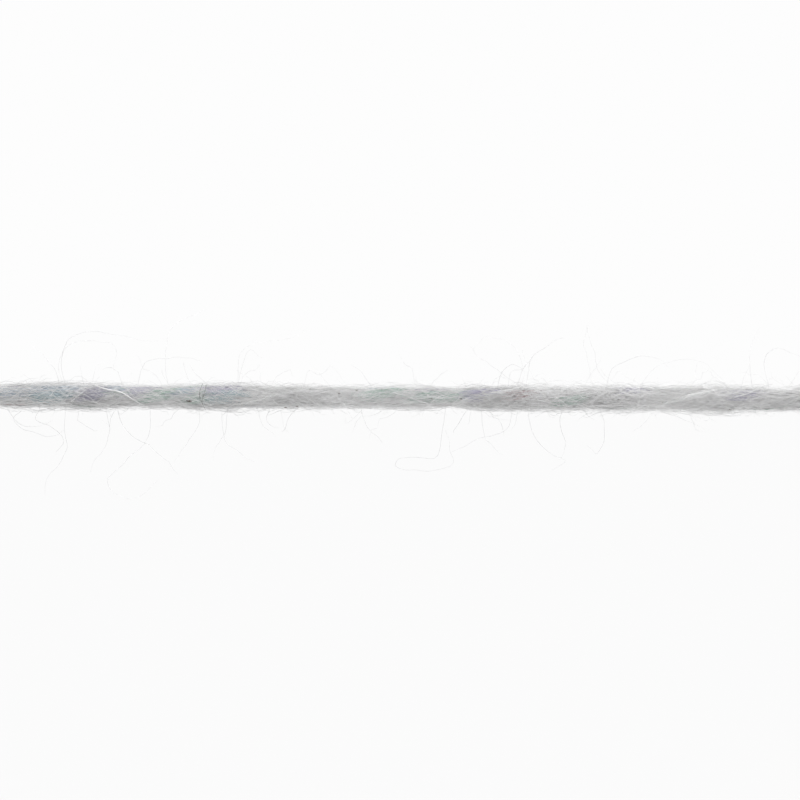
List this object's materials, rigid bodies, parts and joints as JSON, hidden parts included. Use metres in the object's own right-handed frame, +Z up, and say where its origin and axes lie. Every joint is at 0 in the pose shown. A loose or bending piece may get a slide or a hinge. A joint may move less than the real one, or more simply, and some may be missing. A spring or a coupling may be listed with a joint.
{
  "type": "wool yarn strand",
  "caption": "Fuzzy two-ply heather wool yarn held taut in a straight line, with a stopper knot and a short frayed tail at each end.",
  "frame": {"origin": "on the strand's axis, at the left knot's inner face, where that knot bears against what holds it", "axes": "+X along the taut strand towards the right knot, +Z up, -Y towards the viewer"},
  "size_m": [0.0978, 0.0111, 0.015],
  "materials": {
    "grey_wool": "matte dyed wool fibre",
    "core_wool": "matte dyed wool fibre",
    "blue_wool": "matte dyed wool fibre",
    "green_wool": "matte dyed wool fibre",
    "lilac_wool": "matte dyed wool fibre",
    "white_wool": "matte dyed wool fibre",
    "stray_wool": "matte dyed wool fibre",
    "chaff": "matte dry plant chaff"
  },
  "bodies": {
    "root": {"ply_a_grey_sliver": "grey_wool", "ply_b_grey_sliver": "grey_wool", "ply_a_core": "core_wool", "ply_b_core": "core_wool", "ply_a_blue_sliver": "blue_wool", "ply_a_green_sliver": "green_wool", "ply_b_lilac_sliver": "lilac_wool", "ply_b_white_sliver": "white_wool", "stray_hairs_upper": "stray_wool", "stray_hairs_lower": "stray_wool", "chaff_flecks": "chaff"}
  },
  "joints": []
}
